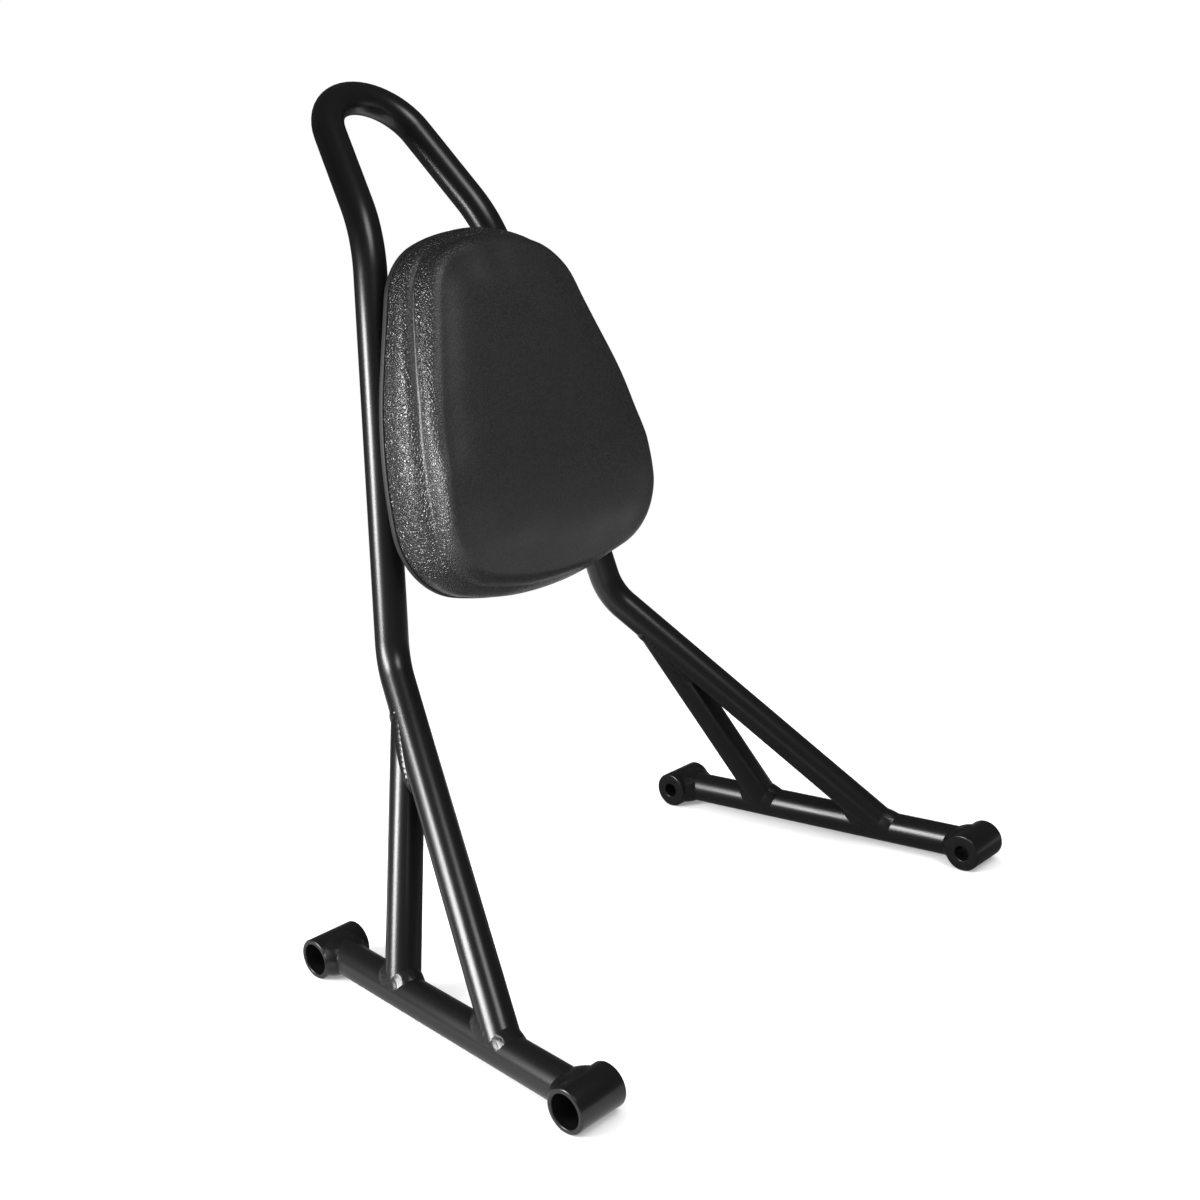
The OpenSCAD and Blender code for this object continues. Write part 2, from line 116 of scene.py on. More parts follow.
# %% Small helpers that build node trees
def add_node(tree, kind, **values):
    """Adds a node of a kind to a tree. Each value is a setting, or a value or an output for an input."""
    node = tree.nodes.new(kind)
    node.location.x = 200 * len(tree.nodes)
    for key, value in values.items():
        socket = node.inputs.get(key.replace("_", " "))
        if socket is None:
            setattr(node, key, value)
        elif isinstance(value, bpy.types.NodeSocket):
            link(value, socket)
        else:
            socket.default_value = value
    return node


def link(start, end):
    """Joins an output to an input of the same tree."""
    start.id_data.links.new(start, end)


def maths(tree, operation, *values):
    """The result of a Math node. Each value is a number or an output."""
    node = add_node(tree, "ShaderNodeMath", operation=operation)
    for socket, value in zip(node.inputs, values):
        if isinstance(value, (int, float)):
            socket.default_value = value
        else:
            link(value, socket)
    return node.outputs["Value"]


def noise(tree, here, scale, detail):
    """An uneven pattern from 0 to 1 over the piece's own coordinates."""
    return add_node(tree, "ShaderNodeTexNoise", Vector=here, Scale=scale, Detail=detail).outputs["Fac"]


def spread(tree, pattern, low, high, start=0.0, end=1.0, kind="LINEAR"):
    """Stretches a pattern that runs from start to end, so that it runs from low to high."""
    node = add_node(tree, "ShaderNodeMapRange", interpolation_type=kind, Value=pattern,
                    From_Min=start, From_Max=end, To_Min=low, To_Max=high)
    return node.outputs["Result"]


def between(tree, pattern, dark, light):
    """A colour between two, by a pattern from 0 to 1."""
    shade = add_node(tree, "ShaderNodeMix", data_type="RGBA", Factor=pattern, A=(*dark, 1), B=(*light, 1))
    return shade.outputs["Result"]


def raise_bump(tree, height, distance, strength, **below):
    """A bump of a real height in metres, on top of an earlier one where Normal is given."""
    bump = add_node(tree, "ShaderNodeBump", Height=height, Distance=distance, Strength=strength, **below)
    return bump.outputs["Normal"]


def new_paint(name):
    """A material, its tree and its shader's inputs."""
    paint = bpy.data.materials.new(name)
    paint.use_nodes = True
    return paint, paint.node_tree, paint.node_tree.nodes["Principled BSDF"].inputs


def new_finish(name):
    """The same, with the piece's own coordinates."""
    paint, tree, shader = new_paint(name)
    return paint, tree, shader, add_node(tree, "ShaderNodeTexCoord").outputs["Object"]

# %% [markdown]
# ### Powder coat
# Powder coat is baked plastic. It is satin, nearly black, and it flows out into a very fine orange peel,
# which breaks up the edge of each highlight. Two noises do that: one of about 1.5 mm for the peel, and one
# of several centimetres for the slow change of gloss along a tube.

# %% Powder coat
def powder_coat():
    finish, tree, shader, here = new_finish("powder_coat_black")
    shader["Base Color"].default_value = (0.0045, 0.0044, 0.0044, 1)
    shader["Specular IOR Level"].default_value = 0.62
    link(spread(tree, noise(tree, here, 22.0, 3.0), 0.25, 0.33), shader["Roughness"])
    link(raise_bump(tree, noise(tree, here, 650.0, 2.0), 0.06 * MM, 0.35), shader["Normal"])
    return finish


POWDER = powder_coat()

# %% [markdown]
# ### Vinyl
# The pad's cover is black vinyl with a pressed leather grain: rounded cells of 1 to 2 mm with narrow
# creases between them. A Voronoi pattern's distance to its cell edges is that relief. The coordinates are
# pushed about by a noise first, so that the cells aren't regular, and a fine noise adds the pores. The
# grain shows on the side wall and is nearly flat on the face, where the cover is stretched and rubbed dull.
# The pad carries that as an attribute of its points, which moves the bump and the roughness here.

# %% Grained vinyl
FACE_GRAIN = 0.12


def grained_vinyl():
    finish, tree, shader, here = new_finish("vinyl_black")
    shader["Specular IOR Level"].default_value = 1.0
    sway = add_node(tree, "ShaderNodeTexNoise", Vector=here, Scale=420.0, Detail=2.0).outputs["Color"]
    pushed = add_node(tree, "ShaderNodeMix", data_type="VECTOR", Factor=0.0011, A=here, B=sway)
    cells = add_node(tree, "ShaderNodeTexVoronoi", feature="DISTANCE_TO_EDGE", Scale=640.0,
                     Vector=pushed.outputs["Result"])
    creases = spread(tree, cells.outputs["Distance"], 0, 1, end=0.32, kind="SMOOTHSTEP")
    grain = add_node(tree, "ShaderNodeAttribute", attribute_name="grain").outputs["Fac"]
    fine = raise_bump(tree, noise(tree, here, 2600.0, 2.0), 0.05 * MM, grain)
    link(raise_bump(tree, creases, 0.36 * MM, grain, Normal=fine), shader["Normal"])
    clouds = spread(tree, noise(tree, here, 35.0, 4.0), 0.25, 0.33)
    duller = spread(tree, grain, 0.22, 0, start=FACE_GRAIN)
    link(maths(tree, "ADD", clouds, duller), shader["Roughness"])
    # The base colour is darker in the creases than on the cells: this is painted shade in the grain's
    # hollows.
    link(between(tree, creases, (0.0075, 0.0074, 0.0074), (0.0155, 0.0153, 0.0152)), shader["Base Color"])
    return finish


VINYL = grained_vinyl()

# %% [markdown]
# ### Board and zinc
# The board behind the cushion is a dull moulded plastic with a fine sparkle of texture. The bolts and
# washers are zinc plated: a soft grey metal, a little cloudy.

# %% Board and zinc
def moulded_board():
    finish, tree, shader, here = new_finish("board_black")
    shader["Base Color"].default_value = (0.0125, 0.0125, 0.0125, 1)
    texture = noise(tree, here, 1500.0, 3.0)
    link(spread(tree, texture, 0.46, 0.6), shader["Roughness"])
    link(raise_bump(tree, texture, 0.05 * MM, 0.5), shader["Normal"])
    return finish


def zinc_plate():
    finish, tree, shader, here = new_finish("zinc_plate")
    shader["Metallic"].default_value = 1.0
    clouds = noise(tree, here, 400.0, 3.0)
    link(between(tree, clouds, (0.50, 0.51, 0.53), (0.66, 0.67, 0.69)), shader["Base Color"])
    link(spread(tree, clouds, 0.28, 0.42), shader["Roughness"])
    return finish


BOARD = moulded_board()
ZINC = zinc_plate()
print("finishes:", [m.name for m in (POWDER, VINYL, BOARD, ZINC)])

# %% [markdown]
# ## Turning a tree's result into a plain piece
# A Geometry Nodes modifier is live. A finished piece has to be a plain mesh, so the evaluated object is
# copied with `new_from_object`, the modifier goes, and only then is the piece tied to the frame.

# %% Helpers for pieces
def mesh_object(name, points, faces, finish=None, edges=()):
    mesh = bpy.data.meshes.new(name)
    mesh.from_pydata([tuple(p) for p in points], edges, [tuple(f) for f in faces])
    mesh.update()
    piece = bpy.data.objects.new(name, mesh)
    scene.collection.objects.link(piece)
    if finish is not None:
        mesh.materials.append(finish)
    return piece


def get_points(mesh):
    points = np.empty(len(mesh.vertices) * 3, np.float32)
    mesh.vertices.foreach_get("co", points)
    return points.reshape(-1, 3).astype(float)


def set_points(mesh, points):
    mesh.vertices.foreach_set("co", points.astype(np.float32).ravel())
    mesh.update()


def store(mesh, name, values, kind="FLOAT"):
    """Keeps a number or a direction for each point of a mesh, as an attribute."""
    stored = mesh.attributes.new(name, kind, "POINT")
    stored.data.foreach_set("value" if kind == "FLOAT" else "vector", np.asarray(values, np.float32).ravel())


def make_plain(piece):
    """Replaces a piece's mesh by what its modifiers make of it, and removes them."""
    bpy.context.view_layer.update()
    shape = piece.evaluated_get(bpy.context.evaluated_depsgraph_get())
    plain = bpy.data.meshes.new_from_object(shape)
    piece.modifiers.clear()
    old, piece.data = piece.data, plain
    plain.name = piece.name
    bpy.data.meshes.remove(old)
    return piece


def set_input(modifier, name, value):
    """Sets a modifier's input, found by its name, through the socket's identifier."""
    for item in modifier.node_group.interface.items_tree:
        if item.item_type == "SOCKET" and item.in_out == "INPUT" and item.name == name:
            modifier[item.identifier] = value
            return
    raise KeyError(name)


def smooth(piece, sharp_degrees=40):
    mesh = piece.data
    mesh.shade_smooth()
    mesh.set_sharp_from_angle(angle=math.radians(sharp_degrees))


def finish_piece(piece, slot, *nodes):
    """Ties a finished piece to the frame: the body it rides on and the nodes it stands for. The slot, its
    finish, is not used.
    """
    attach(piece, BODY)
    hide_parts(*nodes)
    triangles = sum(len(p.vertices) - 2 for p in piece.data.polygons)
    print(piece.name, "triangles:", triangles)

# %% [markdown]
# ## Tubes
# All tubes are one rule: a line through corner points, rounded at each corner to a bend radius, with a
# circle swept along it. A fillet and a sweep in Geometry Nodes say just that, so one tree makes the
# five-bend hoop as well as the straight rails and struts. The bend radius is stored on each corner point.

# %% The tube tree
def new_tree(name, inputs):
    """A Geometry Nodes tree with its group inputs, as (name, socket type, default) each."""
    tree = bpy.data.node_groups.new(name, "GeometryNodeTree")
    tree.interface.new_socket("Geometry", in_out="INPUT", socket_type="NodeSocketGeometry")
    tree.interface.new_socket("Geometry", in_out="OUTPUT", socket_type="NodeSocketGeometry")
    for label, kind, default in inputs:
        socket = tree.interface.new_socket(label, in_out="INPUT", socket_type=kind)
        if default is not None:
            socket.default_value = default
    return tree, add_node(tree, "NodeGroupInput").outputs


def close_tree(tree, source, geometry):
    """Ends a tree with Realize Instances and Set Material."""
    real = add_node(tree, "GeometryNodeRealizeInstances", Geometry=geometry).outputs["Geometry"]
    painted = add_node(tree, "GeometryNodeSetMaterial", Geometry=real, Material=source["Finish"])
    add_node(tree, "NodeGroupOutput", Geometry=painted.outputs["Geometry"])


def tube_tree():
    tree, source = new_tree("Bent tube", [
        ("Tube radius", "NodeSocketFloat", 0.01),
        ("Steps in a bend", "NodeSocketInt", 24),
        ("Steps around", "NodeSocketInt", 64),
        ("Finish", "NodeSocketMaterial", None),
    ])
    line = add_node(tree, "GeometryNodeMeshToCurve", Mesh=source["Geometry"])
    bend = add_node(tree, "GeometryNodeInputNamedAttribute", data_type="FLOAT", Name="bend_radius")
    fillet = add_node(tree, "GeometryNodeFilletCurve", mode="POLY", Curve=line.outputs["Curve"],
                      Radius=bend.outputs["Attribute"], Count=source["Steps in a bend"])
    circle = add_node(tree, "GeometryNodeCurvePrimitiveCircle",
                      Resolution=source["Steps around"], Radius=source["Tube radius"])
    sweep = add_node(tree, "GeometryNodeCurveToMesh", Curve=fillet.outputs["Curve"],
                     Profile_Curve=circle.outputs["Curve"], Fill_Caps=True)
    close_tree(tree, source, sweep.outputs["Mesh"])
    return tree


TUBE_TREE = tube_tree()
TUBE_STEPS = 72

# %% [markdown]
# ### Coped ends
# A tube that stands on another is cut to a saddle, so that it sits on the round wall. Each point of the end
# ring slides along the tube until it lies on the other tube's wall. That distance is the root of a
# quadratic, and the same formula gives the line that the weld follows.

# %% Coped ends
def slide_to_wall(offsets, along, axis, wall_r):
    """How far each offset from a point of the axis moves along the tube to lie at wall_r from that axis."""
    flat_along = along - axis * along.dot(axis)
    axis_share = offsets @ np.array(axis)
    flat = offsets - axis_share[:, None] * np.array(axis)
    k = flat_along.length_squared
    m = flat @ np.array(flat_along)
    c = (flat * flat).sum(1) - wall_r ** 2
    return (-m + np.sqrt(np.maximum(0, m * m - k * c))) / k


def cope(mesh, end, along, axis, wall_r):
    """Shapes the tube's end at a point of the axis that it stands on. along points away from that axis."""
    points = get_points(mesh)
    offsets = points - np.array(end)
    on_end = np.abs(offsets @ np.array(along)) < 0.01 * MM
    near = np.linalg.norm(offsets, axis=1) < 1.2 * tube_r
    ring = on_end & near
    moved = slide_to_wall(offsets[ring], along, axis, wall_r)
    points[ring] += moved[:, None] * np.array(along)
    set_points(mesh, points)


def tube(name, corners, bends, ends, node):
    """A swept tube. Each end is (point, direction up the tube, axis that it stands on, wall radius)."""
    piece = mesh_object(name, corners, [], edges=[(i, i + 1) for i in range(len(corners) - 1)])
    store(piece.data, "bend_radius", [0, *bends, 0])
    modifier = piece.modifiers.new("Bent tube", "NODES")
    modifier.node_group = TUBE_TREE
    set_input(modifier, "Tube radius", tube_r)
    set_input(modifier, "Steps around", TUBE_STEPS)
    set_input(modifier, "Finish", POWDER)
    make_plain(piece)
    for end in ends:
        cope(piece.data, *end)
    smooth(piece)
    finish_piece(piece, "powder_coat", node)

# %% The hoop, rails and struts
rail_axis = (rear_end - front_end).normalized()
leg_axis = (elbow - leg_foot).normalized()
strut_axis = (strut_head - strut_foot).normalized()
X_AXIS = Vector((1, 0, 0))
wall = tube_r + 0.05 * MM
boss_wall = boss_r + 0.05 * MM

right_side = [leg_foot, elbow, shoulder]
hoop_corners = right_side + [loop_tip] + [mirrored(p) for p in reversed(right_side)]
tube("hoop", hoop_corners, [elbow_bend, shoulder_bend, loop_bend, shoulder_bend, elbow_bend], [
    (leg_foot, leg_axis, rail_axis, wall),
    (mirrored(leg_foot), mirrored(leg_axis), mirrored(rail_axis), wall),
], "hoop_tube")

for side, turn in (("right", lambda p: p), ("left", mirrored)):
    tube(f"{side}_rail_tube", [turn(front_end), turn(rear_end)], [], [
        (turn(front_end), turn(rail_axis), X_AXIS, boss_wall),
        (turn(rear_end), -turn(rail_axis), X_AXIS, boss_wall),
    ], f"{side}_rail")
    tube(f"{side}_strut_tube", [turn(strut_foot), turn(strut_head)], [], [
        (turn(strut_foot), turn(strut_axis), turn(rail_axis), wall),
        (turn(strut_head), -turn(strut_axis), turn(leg_axis), wall),
    ], f"{side}_strut")

# %% [markdown]
# ## Welds
# Each joint is closed by a bead that was laid in small steps, so it looks like a row of overlapping scales.
# The bead has to sit on two round walls at every angle between them. Its plain skin is worked out first,
# section by section, along the saddle line. A Geometry Nodes tree then raises the scales on it: it reads
# how far along the seam and how far across the bead each point is. The scales are what repeats along a
# path, so their pitch, depth, curl and unevenness are named inputs, and the noise has a fixed seed.

# %% The ripple tree
def ripple_tree():
    tree, source = new_tree("Weld ripples", [
        ("Pitch", "NodeSocketFloat", 0.003),
        ("Depth", "NodeSocketFloat", 0.0003),
        ("Curl", "NodeSocketFloat", 0.5),
        ("Unevenness", "NodeSocketFloat", 0.3),
        ("Seed", "NodeSocketFloat", 1.0),
        ("Finish", "NodeSocketMaterial", None),
    ])

    def read(name, kind="FLOAT"):
        node = add_node(tree, "GeometryNodeInputNamedAttribute", data_type=kind, Name=name)
        return node.outputs["Attribute"]

    def product(*values):
        return maths(tree, "MULTIPLY", *values)

    along, across, swell = (read(name) for name in ("along", "across", "swell"))
    outward = read("outward", "FLOAT_VECTOR")
    rough = add_node(tree, "ShaderNodeTexNoise", noise_dimensions="4D", W=source["Seed"],
                     Scale=260.0, Detail=1.0)
    uneven = product(maths(tree, "SUBTRACT", rough.outputs["Fac"], 0.5), source["Unevenness"])
    bow = product(product(across, across), source["Curl"])
    steps = maths(tree, "DIVIDE", along, source["Pitch"])
    phase = maths(tree, "FRACT", maths(tree, "ADD", maths(tree, "ADD", steps, bow), uneven))
    # Each scale rises slowly and drops fast: a curve of the phase that peaks late
    scale_height = maths(tree, "SUBTRACT", maths(tree, "POWER", phase, 1.6), maths(tree, "POWER", phase, 9.0))
    height = maths(tree, "ADD", maths(tree, "SUBTRACT", scale_height, 0.35), uneven)
    lift = product(product(height, source["Depth"]), swell)
    push = add_node(tree, "ShaderNodeVectorMath", operation="SCALE", Vector=outward, Scale=lift)
    placed = add_node(tree, "GeometryNodeSetPosition",
                      Geometry=source["Geometry"], Offset=push.outputs["Vector"])
    close_tree(tree, source, placed.outputs["Geometry"])
    return tree


RIPPLE_TREE = ripple_tree()

# %% [markdown]
# ### The plain bead
# A section of the bead has a foot on each wall and a low crest between them. The feet lie a bead's width
# away from the root, square to the seam, and a little under the paint of each tube, so no gap can show. The
# back of the section is one row of points at the root, inside the joint, which keeps the bead a closed
# ring.

# %% The plain bead
bead_sunk = 0.12 * MM
CURL, UNEVENNESS = -0.5, 0.6
SEAM_STEP = 0.33 * MM
ACROSS = np.linspace(-1, 1, 13)


def unit_rows(rows):
    return rows / np.linalg.norm(rows, axis=-1, keepdims=True)


def seam_points(axis, wall_r, along, branch_r, angles):
    start = (axis - along * axis.dot(along)).normalized()
    side = along.cross(start)
    offsets = branch_r * (np.outer(np.cos(angles), start) + np.outer(np.sin(angles), side))
    return offsets + slide_to_wall(offsets, along, axis, wall_r)[:, None] * np.array(along)


def even_angles(axis, wall_r, along, branch_r):
    """Angles round the branch at which the seam's points are evenly spaced."""
    fine = np.linspace(0, 2 * math.pi, 1441)
    points = seam_points(axis, wall_r, along, branch_r, fine)
    run = np.r_[0, np.cumsum(np.linalg.norm(np.diff(points, axis=0), axis=1))]
    count = round(run[-1] / SEAM_STEP)
    return np.interp(np.arange(count) * run[-1] / count, run, fine), run[-1]


def wall_normal(points, axis):
    axis = np.array(axis)
    return unit_rows(points - (points @ axis)[:, None] * axis)


def bead_sections(axis, wall_r, along, branch_r, width, crest):
    """The bead's points as sections by rows, their direction outward, and the length of the seam."""
    angles, length = even_angles(axis, wall_r, along, branch_r)
    root = seam_points(axis, wall_r, along, branch_r, angles)
    tangent = unit_rows(np.roll(root, -1, 0) - np.roll(root, 1, 0))
    on_main, on_branch = wall_normal(root, axis), wall_normal(root, along)
    feet = []
    for normal, other, line, r in (
            (on_main, on_branch, axis, wall_r), (on_branch, on_main, along, branch_r)):
        away = np.cross(tangent, normal)
        away *= np.sign((away * other).sum(1))[:, None]
        foot = root + width * away
        line = np.array(line)
        share = (foot @ line)[:, None] * line
        feet.append(share + unit_rows(foot - share) * (r - bead_sunk))
    outward = unit_rows(on_main + on_branch)
    rows = []
    for u in ACROSS:
        t = (u + 1) / 2
        chord = feet[0] * (1 - t) + feet[1] * t
        rows.append(chord + outward * width * crest * (1 - u * u))
    rows.append(root - outward * bead_sunk * 4)
    return np.stack(rows, 1), outward, length


def weld(name, node, origin, axis, wall_r, along, branch_r, flip, seed, width, crest, pitch, depth):
    rings, outward, length = bead_sections(axis, wall_r, along, branch_r, width, crest)
    count, rows = rings.shape[:2]
    points = rings.reshape(-1, 3) + np.array(origin)
    outs = np.repeat(outward, rows, 0)
    if flip:
        points[:, 0] *= -1
        outs[:, 0] *= -1
    faces = []
    for i in range(count):
        a, b = i * rows, (i + 1) % count * rows
        for j in range(rows):
            k = (j + 1) % rows
            quad = (a + j, b + j, b + k, a + k)
            faces.append(quad if flip else quad[::-1])
    piece = mesh_object(name, points, faces)
    steps = round(length / pitch)
    along_rows = np.repeat(np.arange(count) / count * steps * pitch, rows)
    across_rows = np.tile(np.r_[ACROSS, 0], count)
    swell_rows = np.tile(np.r_[np.sqrt(1 - ACROSS ** 2 * 0.96), 0], count)
    for label, values in (("along", along_rows), ("across", across_rows), ("swell", swell_rows)):
        store(piece.data, label, values)
    store(piece.data, "outward", outs, "FLOAT_VECTOR")
    modifier = piece.modifiers.new("Weld ripples", "NODES")
    modifier.node_group = RIPPLE_TREE
    for label, value in (("Pitch", pitch), ("Depth", depth), ("Curl", CURL), ("Unevenness", UNEVENNESS),
                         ("Seed", float(seed)), ("Finish", POWDER)):
        set_input(modifier, label, value)
    make_plain(piece)
    face_outwards(piece)
    smooth(piece, 60)
    finish_piece(piece, "powder_coat", node)


def face_outwards(piece):
    """Turns all faces of a closed piece outwards."""
    shape = bmesh.new()
    shape.from_mesh(piece.data)
    bmesh.ops.recalc_face_normals(shape, faces=shape.faces)
    shape.to_mesh(piece.data)
    shape.free()

# %% All tube welds
# Each bead has its width, its crest as a share of that, and the pitch and depth of its scales
FOOT_BEAD = (4.2 * MM, 0.05, 3.0 * MM, 0.22 * MM)
HEAD_BEAD = (3.0 * MM, 0.16, 3.3 * MM, 0.30 * MM)
BOSS_BEAD = (4.7 * MM, 0.08, 3.6 * MM, 0.20 * MM)
SEAMS = [
    ("leg_bead", "leg_weld", leg_foot, rail_axis, tube_r, leg_axis, FOOT_BEAD),
    ("strut_foot_bead", "strut_foot_weld", strut_foot, rail_axis, tube_r, strut_axis, FOOT_BEAD),
    ("strut_head_bead", "strut_head_weld", strut_head, leg_axis, tube_r, -strut_axis, HEAD_BEAD),
    ("front_boss_bead", "boss_weld", front_end, X_AXIS, boss_r, rail_axis, BOSS_BEAD),
    ("rear_boss_bead", "boss_weld", rear_end, X_AXIS, boss_r, -rail_axis, BOSS_BEAD),
]
for number, (label, node, origin, axis, wall_r, along, shape) in enumerate(SEAMS):
    for side, flip in (("right", False), ("left", True)):
        end = label.split("_")[0]
        cad_node = f"{end}_{side}_boss_weld" if node == "boss_weld" else f"{side}_{node}"
        seed = 3 * number + flip
        weld(f"{side}_{label}", cad_node, origin, axis, wall_r, along, tube_r, flip, seed, *shape)

# %% [markdown]
# ## Bosses
# A boss is turned from round bar: a bolt hole right through, and a wide pocket for the bolt's head from
# outside. On the real part its edges are broken and the powder coat rounds them further. It is a profile
# spun round the bolt's line, with a small arc at each corner of the profile.

# %% A lathe with rounded corners
LATHE_STEPS = 96


def rounded(profile, radii, steps=5):
    """A closed profile with each corner replaced by an arc of its radius."""
    out = []
    for i, (corner, r) in enumerate(zip(profile, radii)):
        corner = Vector(corner)
        before = (Vector(profile[i - 1]) - corner).normalized()
        after = (Vector(profile[(i + 1) % len(profile)]) - corner).normalized()
        if r == 0:
            out.append(corner)
            continue
        half = before.angle(after) / 2
        reach = r / math.tan(half)
        centre = corner + (before + after).normalized() * r / math.sin(half)
        first, last = corner + before * reach - centre, corner + after * reach - centre
        turn = first.angle_signed(last)
        for k in range(steps + 1):
            out.append(centre + Matrix.Rotation(-turn * k / steps, 2) @ first)
    return out


def lathe(name, profile, origin, axis, finish):
    """Spins a closed profile of (radius, length along the axis) round the axis."""
    start = axis.orthogonal().normalized()
    side = axis.cross(start)
    points, faces = [], []
    rows = len(profile)
    for i in range(LATHE_STEPS):
        a = 2 * math.pi * i / LATHE_STEPS
        out = start * math.cos(a) + side * math.sin(a)
        points += [origin + out * r + axis * h for r, h in profile]
        b = (i + 1) % LATHE_STEPS * rows
        faces += [(i * rows + j, b + j, b + (j + 1) % rows, i * rows + (j + 1) % rows) for j in range(rows)]
    piece = mesh_object(name, points, faces, finish)
    face_outwards(piece)
    smooth(piece, 50)
    return piece

# %% The four bosses
boss_in = 15.5 * MM
boss_out = 14 * MM
pocket_depth = 19 * MM
hole_r = 4.6 * MM
pocket_r = 8.6 * MM
boss_profile = rounded(
    [(hole_r, -boss_in), (boss_r, -boss_in), (boss_r, boss_out), (pocket_r, boss_out),
     (pocket_r, boss_out - pocket_depth), (hole_r, boss_out - pocket_depth)],
    [0.5 * MM, 0.9 * MM, 0.9 * MM, 0.6 * MM, 0.6 * MM, 0.2 * MM])
for end, centre in (("front", front_end), ("rear", rear_end)):
    for side, sign in (("right", 1), ("left", -1)):
        origin = Vector((centre.x * sign, centre.y, centre.z))
        piece = lathe(f"{end}_{side}_turned_boss", boss_profile, origin, X_AXIS * sign, POWDER)
        finish_piece(piece, "powder_coat", f"{end}_{side}_boss")

# %% [markdown]
# ## The pad
# The pad is moulded foam in a leather-grained cover. Its outline is made of tangent arcs: a low wide arc at
# the bottom, a corner, a bowed side, a straight stretch, a smaller corner and an arc over the top. Each
# point keeps the direction that its edge faces, so the outline can be drawn in by any distance. The sizes
# are those of the frame's own solid.

# %% Outline of the pad
pad_w, pad_h, pad_low = 179 * MM, 210 * MM, 21 * MM
low_corner_r, top_corner_r, side_bow_r = 46 * MM, 42 * MM, 270 * MM
low_angle, top_angle, side_slope = (math.radians(a) for a in (16, 70, 18))


def arc_points(cx, cy, r, start, end, steps=60):
    a = np.linspace(start, end, steps)
    return np.c_[cx + r * np.cos(a), cy + r * np.sin(a), a]


def pad_outline(count):
    """Evenly spaced points round the pad as (x, y, direction that the edge faces)."""
    w, quarter = pad_w / 2, math.pi / 2
    low_r = (w - low_corner_r * (1 - math.sin(low_angle))) / math.sin(low_angle)
    low_h = low_r * (1 - math.cos(low_angle)) + low_corner_r * math.cos(low_angle)
    bow_x = w - side_bow_r * (1 - math.cos(side_slope))
    k = (1 - math.sin(top_angle)) / math.cos(top_angle)
    corner_x = bow_x - top_corner_r * (math.cos(side_slope) - math.cos(top_angle))
    straight = ((pad_h - low_h - side_bow_r * math.sin(side_slope)
                 - top_corner_r * (math.sin(top_angle) - math.sin(side_slope)) - corner_x * k)
                / (math.cos(side_slope) - math.sin(side_slope) * k))
    corner_y = (low_h + side_bow_r * math.sin(side_slope) + straight * math.cos(side_slope)
                - top_corner_r * math.sin(side_slope))
    corner_c = bow_x - straight * math.sin(side_slope) - top_corner_r * math.cos(side_slope)
    top_r = (corner_c + top_corner_r * math.cos(top_angle)) / math.cos(top_angle)
    half = np.vstack([
        arc_points(0, low_r, low_r, -quarter, low_angle - quarter),
        arc_points(w - low_corner_r, low_h, low_corner_r, low_angle - quarter, 0)[1:],
        arc_points(w - side_bow_r, low_h, side_bow_r, 0, side_slope)[1:],
        arc_points(corner_c, corner_y, top_corner_r, side_slope, top_angle),
        arc_points(0, pad_h - top_r, top_r, top_angle, quarter)[1:],
    ])
    other = half[-2:0:-1] * [-1, 1, 1]
    other[:, 2] = math.pi - other[:, 2]
    whole = np.vstack([half, other, half[:1] + [0, 0, 2 * math.pi]])
    run = np.r_[0, np.cumsum(np.hypot(*np.diff(whole[:, :2], axis=0).T))]
    stops = np.arange(count) / count * run[-1]
    return np.stack([np.interp(stops, run, whole[:, i]) for i in range(3)], 1)


upright = shoulder - elbow
pad_up = Vector((0, upright.y, upright.z)).normalized()
pad_out = X_AXIS.cross(pad_up)
strap_gap, strap_t, standoff_h, board_t, seat_gap = 0.2 * MM, 5 * MM, 6.5 * MM, 4 * MM, 0.3 * MM
strap_face = tube_r + strap_gap + strap_t
board_back = strap_face + standoff_h
seat = board_back + board_t + seat_gap
pad_origin = Vector((0, elbow.y, elbow.z)) + pad_up * pad_low


def from_pad(x, y, z):
    """Points from the pad's own frame: across, up along the uprights, and out of its face."""
    return np.array(pad_origin) + np.outer(x, X_AXIS) + np.outer(y, pad_up) + np.outer(z, pad_out)


PAD_EDGE = pad_outline(420)
print("pad outline:", [round(float(v) / MM, 1) for v in np.ptp(PAD_EDGE[:, :2], axis=0)], "mm")

# %% [markdown]
# ### Its first shape
# A section through the edge gives the rest: a tight hem on the board, a side wall that leans in, a rounded
# edge and then the face. The pad is thickest a third of the way up. It thins evenly to the top and a little
# to the bottom. The first shape is made slightly slack, because the cover is blown up afterwards.

# %% Sections of the pad
pad_t, top_drop, low_drop, thick_at = 46 * MM, 15 * MM, 9 * MM, 0.36
wall_lean, face_mid = 4.2 * MM, 0.46
ROUND_LOW = (6.5 * MM, 14 * MM)
ROUND_TOP = (7.5 * MM, 9.5 * MM)
ROUND_CHANGES = (0.35, 0.6)
FIRST_CROWN = 1.2 * MM
BELLY_AT = 0.34
HEM_INSETS = (1.1, 0.8, 0.6)
HEM_RISES = (0, 0.1, 0.4)
HEM_TUCK, WALL_INSET = 0.4 * MM, 0.2 * MM


def drawn_in(inset):
    """The outline's x and y, drawn in by a distance."""
    return PAD_EDGE[:, 0] - inset * np.cos(PAD_EDGE[:, 2]), PAD_EDGE[:, 1] - inset * np.sin(PAD_EDGE[:, 2])


def face_height(y):
    """Height of the face's edge over the board."""
    t = y / pad_h - thick_at
    drop = np.where(t > 0, top_drop * t / (1 - thick_at), low_drop * (t / thick_at) ** 2)
    return pad_t - board_t - seat_gap - drop


def ease(low, high, t):
    """0 below low and 1 above high, with a soft step between them."""
    t = np.clip((t - low) / (high - low), 0, 1)
    return t * t * (3 - 2 * t)


